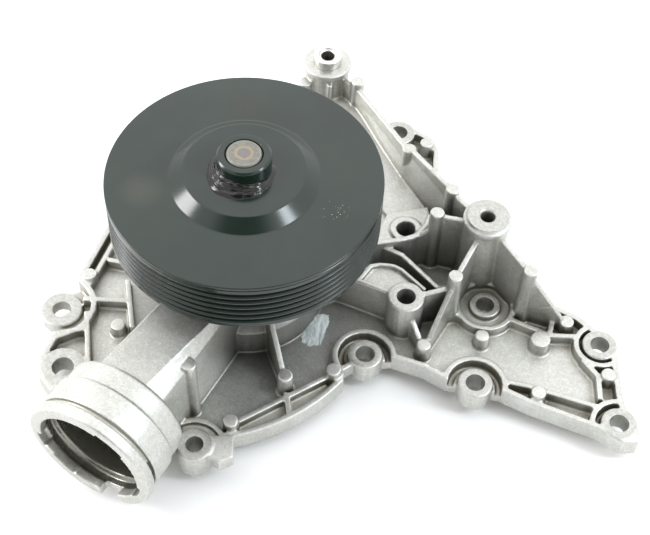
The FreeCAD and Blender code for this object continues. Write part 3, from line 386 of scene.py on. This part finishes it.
def rounded(points, steps=4):
    """A closed outline of radius, height and corner radius, in mm, with its corners rounded."""
    corners = [point[:2] for point in points]
    line = []
    for index, (*corner, radius) in enumerate(points):
        here = Vector(corner)
        if radius <= 0:
            line.append(here)
            continue
        before = Vector(corners[index - 1]) - here
        after = Vector(corners[(index + 1) % len(corners)]) - here
        half = before.angle(after) / 2
        reach = min(radius / math.tan(half), before.length * 0.48, after.length * 0.48)
        start = here + before.normalized() * reach
        end = here + after.normalized() * reach
        for step in range(steps + 1):
            t = step / steps
            line.append(start * (1 - t) ** 2 + here * 2 * t * (1 - t) + end * t ** 2)
    return line


def turned_ring(bm, line, angle, x=0.0, y=0.0):
    """Corners of an outline of radius and height, in mm, at one angle about an axis along Z."""
    across, along = math.cos(angle), math.sin(angle)
    return [bm.verts.new(((x + r * across) * MM, (y + r * along) * MM, z * MM)) for r, z in line]


def skin(bm, rings):
    """Faces between each ring of corners and the next, and from the last to the first."""
    for near, far in zip(rings, rings[1:] + rings[:1]):
        for index in range(len(near)):
            following = (index + 1) % len(near)
            bm.faces.new((near[index], far[index], far[following], near[following]))


def finished_mesh(bm, name, angle=35):
    bmesh.ops.recalc_face_normals(bm, faces=bm.faces)
    mesh = bpy.data.meshes.new(name)
    bm.to_mesh(mesh)
    bm.free()
    smooth(mesh, angle)
    return mesh


def lathe(name, points, segments, x=0.0, y=0.0):
    """A rounded outline turned about an axis along Z."""
    line = rounded(points)
    bm = bmesh.new()
    skin(bm, [turned_ring(bm, line, angle, x, y) for angle in angles(segments)])
    bmesh.ops.remove_doubles(bm, verts=bm.verts, dist=1e-7)
    bmesh.ops.dissolve_degenerate(bm, dist=1e-8, edges=bm.edges)
    return finished_mesh(bm, name)


def evaluated_mesh(piece):
    """The mesh with its modifiers applied, as a new mesh."""
    graph = bpy.context.evaluated_depsgraph_get()
    return bpy.data.meshes.new_from_object(piece.evaluated_get(graph))


def cast_copy(node, voxel, faces, rounds):
    """A softened copy of a CAD node: voxel remesh, smoothing, then fewer faces, none below z = 0."""
    source = bpy.data.objects.new("casting_source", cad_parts[node].data.copy())
    scene.collection.objects.link(source)
    weld = source.modifiers.new("weld", "WELD")
    weld.merge_threshold = 1e-6
    remesh = source.modifiers.new("remesh", "REMESH")
    remesh.mode = "VOXEL"
    remesh.voxel_size = voxel
    relax = source.modifiers.new("relax", "SMOOTH")
    relax.factor = 0.5
    relax.iterations = rounds
    fine = evaluated_mesh(source)
    source.modifiers.clear()
    source.data = fine
    thin = source.modifiers.new("thin", "DECIMATE")
    thin.ratio = faces / (2 * len(fine.polygons))
    mesh = evaluated_mesh(source)
    bpy.data.objects.remove(source)
    for vertex in mesh.vertices:
        vertex.co.z = max(vertex.co.z, 0.0)
    for face in mesh.polygons:
        face.use_smooth = True
    return mesh


# ---------------------------------------------------------------- housing
VOXEL = 0.00052
CASTING_FACES = 190000
new_piece("housing_casting", cast_copy("pump_housing", VOXEL, CASTING_FACES, 2), CAST,
          "housing_body", "cast_aluminium", "pump_housing")

# machined bolt seats: x, y, hole radius, outer radius, top, all in mm
SEATS = [
    (-89.0, -19.1, 4.5, 9.6, 6.6), (-82.3, -54.5, 5.1, 10.2, 10.6), (-16.4, -94.2, 4.0, 7.8, 14.5),
    (58.9, -39.2, 4.5, 7.7, 11.6), (111.0, -51.8, 4.5, 7.7, 11.2), (177.0, -69.8, 4.5, 7.9, 10.9),
    (171.7, -26.5, 4.5, 7.9, 10.9), (117.1, -6.1, 4.5, 7.1, 10.9), (77.1, -15.8, 4.5, 8.3, 27.4),
    (74.1, 106.2, 4.5, 8.1, 10.9), (114.3, 17.7, 4.4, 9.9, 50.2),
]


def seat_rings():
    """Thin rings on the bolt bosses, one mesh, each vertex holding its radius."""
    proud, sunk = 0.04, 0.5
    bm = bmesh.new()
    turn = bm.verts.layers.float.new("turn")
    for x, y, hole, outer, top in SEATS:
        line = rounded([(hole, top - sunk, 0), (outer, top - sunk, 0), (outer, top + proud, 0.35),
                        (hole, top + proud, 0.3)], 3)
        rings = [turned_ring(bm, line, angle, x, y) for angle in angles(64)]
        for ring in rings:
            for vertex, (radius, _) in zip(ring, line):
                vertex[turn] = radius * MM
        skin(bm, rings)
    return finished_mesh(bm, "machined_seats")


new_piece("machined_seats", seat_rings(), MACHINED, "housing_body", "cast_aluminium")

# ---------------------------------------------------------------- pulley, hub, shaft end, bush
PULLEY_RADIUS = 62.5
PULLEY_FACE = 89.8
PLATE_TOP = 94.8
SHEET = 3
RIM_LOW = 61.4
RIM_INSIDE = 57.2
GROOVES = 6
GROOVE_PITCH = 3.56
FIRST_GROOVE = PULLEY_FACE - 5.6
GROOVE_DEPTH = 2.6
HUB_RADIUS = 12.3
HUB_FLANGE = 19
HUB_TOP = 104.8
SHAFT_RADIUS = 7.96
SHAFT_TOP = 105.2
BALL_RADIUS = 2.86
BALL_ROW = (10, 63)
BUSH_PLACE = (33.6, 118.2)


def pulley_points():
    top, out, deep = PULLEY_FACE, PULLEY_RADIUS, PULLEY_RADIUS - GROOVE_DEPTH
    points = [(HUB_RADIUS, PLATE_TOP - SHEET, 0), (HUB_RADIUS, PLATE_TOP, 0), (27.4, PLATE_TOP, 1.6),
              (34.1, top, 2.2), (out, top, 0.7), (out, top - 1.5, 0.15),
              (out - 0.5, top - 1.8, 0.15), (out, top - 2.1, 0.15)]
    for index in range(GROOVES):
        middle = FIRST_GROOVE - GROOVE_PITCH * index
        points += [(out, middle + 1.35, 0.4), (deep, middle + 0.35, 0.35),
                   (deep, middle - 0.35, 0.35), (out, middle - 1.35, 0.4)]
    return points + [(out, RIM_LOW + 1.2, 0.5), (out - 1, RIM_LOW, 0.5), (RIM_INSIDE, RIM_LOW, 0.5),
                     (RIM_INSIDE, top - SHEET, 2.5), (32.9, top - SHEET, 2.0),
                     (26.2, PLATE_TOP - SHEET, 2.0)]


def shaft_points():
    centre, middle = BALL_ROW
    track = [(centre - math.sqrt(BALL_RADIUS ** 2 - (step * 0.5) ** 2), middle + step * 0.5, 0)
             for step in range(-4, 5)]
    return [(0, 4, 0), (SHAFT_RADIUS - 0.6, 4, 0.1), (SHAFT_RADIUS, 4.6, 0.1), *track,
            (SHAFT_RADIUS, SHAFT_TOP - 0.7, 0.1), (SHAFT_RADIUS - 0.5, SHAFT_TOP, 0.15), (0, SHAFT_TOP, 0)]


HUB_POINTS = [
    (SHAFT_RADIUS + 0.02, PLATE_TOP - 7, 0), (HUB_FLANGE, PLATE_TOP - 7, 0.4),
    (HUB_FLANGE, PLATE_TOP - SHEET, 0.3), (HUB_RADIUS, PLATE_TOP - SHEET, 0),
    (HUB_RADIUS, HUB_TOP - 0.9, 0.5), (11.4, HUB_TOP, 0.4), (SHAFT_RADIUS + 0.75, HUB_TOP, 0.15),
    (SHAFT_RADIUS + 0.02, HUB_TOP - 1.2, 0)]
BUSH_POINTS = [
    (3.5, 36.2, 0.3), (5.5, 36.2, 0.3), (5.5, 49.2, 0), (7.35, 49.2, 0.2), (7.35, 54, 0.5),
    (4.8, 54, 0.15), (4.6, 53.6, 0.1), (3.5, 53.1, 0.2)]

new_piece("pulley_shell", lathe("pulley_shell", pulley_points(), 256), COAT, "rotor", "black_coat",
          "pulley")
new_piece("turned_shaft", lathe("turned_shaft", shaft_points(), 128), SHAFT, "rotor", "bearing_steel",
          "pump_shaft")
new_piece("hub_collar", lathe("hub_collar", HUB_POINTS, 128), COAT, "rotor", "black_coat", "pulley_hub")
new_piece("bush_sleeve", lathe("bush_sleeve", BUSH_POINTS, 96, *BUSH_PLACE), ZINC, "housing_body",
          "zinc_steel", "boss_bush")


def wavy(angle, *terms):
    """A sum of sine waves round the axis, each given as count, size and shift."""
    return sum(size * math.sin(count * angle + shift) for count, size, shift in terms)


THICKEST = math.radians(240)
BEAD_SUNK = 0.3


def bead_mesh():
    """Cured compound dragged round the collar, thickest at the lower left, with drag ridges."""
    across = 26
    inner = HUB_RADIUS - BEAD_SUNK
    bm = bmesh.new()
    rings = []
    for angle in angles(256):
        swell = max(0.0, 0.5 + 0.5 * math.cos(angle - THICKEST)) ** 1.5
        width = 0.7 + 5.6 * swell
        width += wavy(angle, (3, 0.3, 0.9), (5, 0.28, 0.4), (11, 0.16, 1.7), (23, 0.06, 0.2))
        height = 0.4 + 3.9 * swell + wavy(angle, (7, 0.2, 2.1), (13, 0.12, 0.6))
        around = Vector((math.cos(angle), math.sin(angle), 0)) * 1.6
        line = []
        for index in range(across + 1):
            t = index / across
            slope = height * (1 - t) ** 0.8
            ridges = noise.noise(around + Vector((0, 0, t * 7.0))) * 0.8
            ridges += noise.noise(around * 2.5 + Vector((5, 0, t * 15.0))) * 0.35
            lift = slope + (ridges + 0.35) * swell * math.sin(math.pi * min(1.0, 0.12 + t * 0.9)) ** 0.7
            line.append((inner + (width + BEAD_SUNK) * t, PLATE_TOP - 0.05 + max(0.0, lift)))
        line.append((inner, PLATE_TOP - BEAD_SUNK))
        rings.append(turned_ring(bm, line, angle))
    skin(bm, rings)
    return finished_mesh(bm, "locking_compound", 60)


new_piece("locking_compound", bead_mesh(), SEALANT, "rotor", "sealant", "locking_bead")


# ---------------------------------------------------------------- marking paint on the floor of the casting
DAUB_CORNERS = [(31.4, -13.8), (35.0, -12.2), (41.0, -13.2), (41.4, -16.8), (39.8, -23.4),
                (37.5, -31.5), (32.3, -32.2), (28.4, -30.6), (27.8, -26.2), (29.4, -20.5)]
DAUB_CENTRE = Vector((34.6, -22.2))
DAUB_THICKNESS = 1.2
CASTING_FLOOR = 5.0


def daub_outline(segments):
    """Offsets from the daub's centre to its wavering edge."""
    outline = []
    for step in range(segments):
        t = step / segments * len(DAUB_CORNERS)
        index = int(t)
        share = t - index
        share = share * share * (3 - 2 * share)
        here, there = Vector(DAUB_CORNERS[index]), Vector(DAUB_CORNERS[(index + 1) % len(DAUB_CORNERS)])
        waver = 1 + 0.03 * math.sin(step * 1.1) + 0.03 * math.sin(step * 0.37)
        outline.append((here.lerp(there, share) - DAUB_CENTRE) * waver)
    return outline


def daub_mesh():
    """A brushed patch of paint, open below, its edge sunk in the casting's floor."""
    segments, rows, sunk = 120, 14, 0.2
    outline = daub_outline(segments)
    bm = bmesh.new()
    top = CASTING_FLOOR + DAUB_THICKNESS
    middle = bm.verts.new((DAUB_CENTRE.x * MM, DAUB_CENTRE.y * MM, top * MM))
    previous = None
    for row in range(1, rows + 1):
        t = row / rows
        ring = []
        for edge in outline:
            spot = DAUB_CENTRE + edge * t
            lump = noise.noise(Vector((spot.x * 0.45, spot.y * 0.2, 1.0))) * 0.5
            lump += noise.noise(Vector((spot.x * 1.3, spot.y * 0.6, 2.0))) * 0.25
            lift = DAUB_THICKNESS * math.sqrt(max(0.0, 1 - t ** 5)) * (1 + lump)
            ring.append(bm.verts.new((spot.x * MM, spot.y * MM, (CASTING_FLOOR - sunk + lift) * MM)))
        for step in range(segments):
            following = (step + 1) % segments
            if previous is None:
                bm.faces.new((middle, ring[step], ring[following]))
            else:
                bm.faces.new((previous[step], ring[step], ring[following], previous[following]))
        previous = ring
    return finished_mesh(bm, "marking_paint", 60)


new_piece("marking_paint", daub_mesh(), PAINT, "housing_body", "cast_aluminium")


# ---------------------------------------------------------------- stage and light
# the part is held a little above the paper, as the soft shadow in the photo shows
PAPER_DROP = 0.006
CENTRE = (0.03, 0.0, 0.03)
BRIGHT_SIDE = (0.0, 0.55, 0.835)
CAMERA_SIDE = (0.0, -0.62, 0.785)


def make_floor():
    bm = bmesh.new()
    bmesh.ops.create_grid(bm, x_segments=4, y_segments=4, size=3.0)
    mesh = bpy.data.meshes.new("floor")
    bm.to_mesh(mesh)
    bm.free()
    floor = bpy.data.objects.new("floor", mesh)
    floor.location = (0, 0, -PAPER_DROP)
    scene.collection.objects.link(floor)
    mesh.materials.append(Shader("floor_paper", Roughness=0.9, Base_Color=(0.93, 0.93, 0.925, 1)).material)


def softbox(name, place, size, power, colour=(1, 1, 1)):
    data = bpy.data.lights.new(name, "AREA")
    data.shape = "RECTANGLE"
    data.size, data.size_y = size
    data.energy = power
    data.color = colour
    lamp = bpy.data.objects.new(name, data)
    scene.collection.objects.link(lamp)
    lamp.location = place
    lamp.rotation_euler = (Vector(CENTRE) - Vector(place)).to_track_quat("-Z", "Y").to_euler()


def make_world():
    """Studio light: brightest high behind the part, dark in a patch on the camera's side."""
    world = bpy.data.worlds.new("studio")
    scene.world = world
    world.use_nodes = True
    tree = world.node_tree
    background = tree.nodes["Background"]
    place = tree.nodes.new("ShaderNodeTexCoord")

    def lobe(direction, start, end, low, high):
        toward = tree.nodes.new("ShaderNodeVectorMath")
        toward.operation = "DOT_PRODUCT"
        toward.inputs[1].default_value = direction
        spread = tree.nodes.new("ShaderNodeMapRange")
        spread.interpolation_type = "SMOOTHSTEP"
        for socket, value in (("From Min", start), ("From Max", end), ("To Min", low), ("To Max", high)):
            spread.inputs[socket].default_value = value
        tree.links.new(place.outputs["Generated"], toward.inputs[0])
        tree.links.new(toward.outputs["Value"], spread.inputs["Value"])
        return spread.outputs["Result"]

    product = tree.nodes.new("ShaderNodeMath")
    product.operation = "MULTIPLY"
    tree.links.new(lobe(BRIGHT_SIDE, 0.15, 1.0, 1.1, 1.8), product.inputs[0])
    tree.links.new(lobe(CAMERA_SIDE, 0.82, 0.97, 1.0, 0.14), product.inputs[1])
    tree.links.new(product.outputs[0], background.inputs["Strength"])
    background.inputs["Color"].default_value = (1.0, 1.0, 1.0, 1)


make_floor()
make_world()
softbox("left_window", (-1.00, 0.05, 0.62), (0.36, 0.55), 8.4)
softbox("right_window", (0.86, -0.22, 0.86), (0.20, 0.50), 4.8, (0.84, 0.93, 1.0))
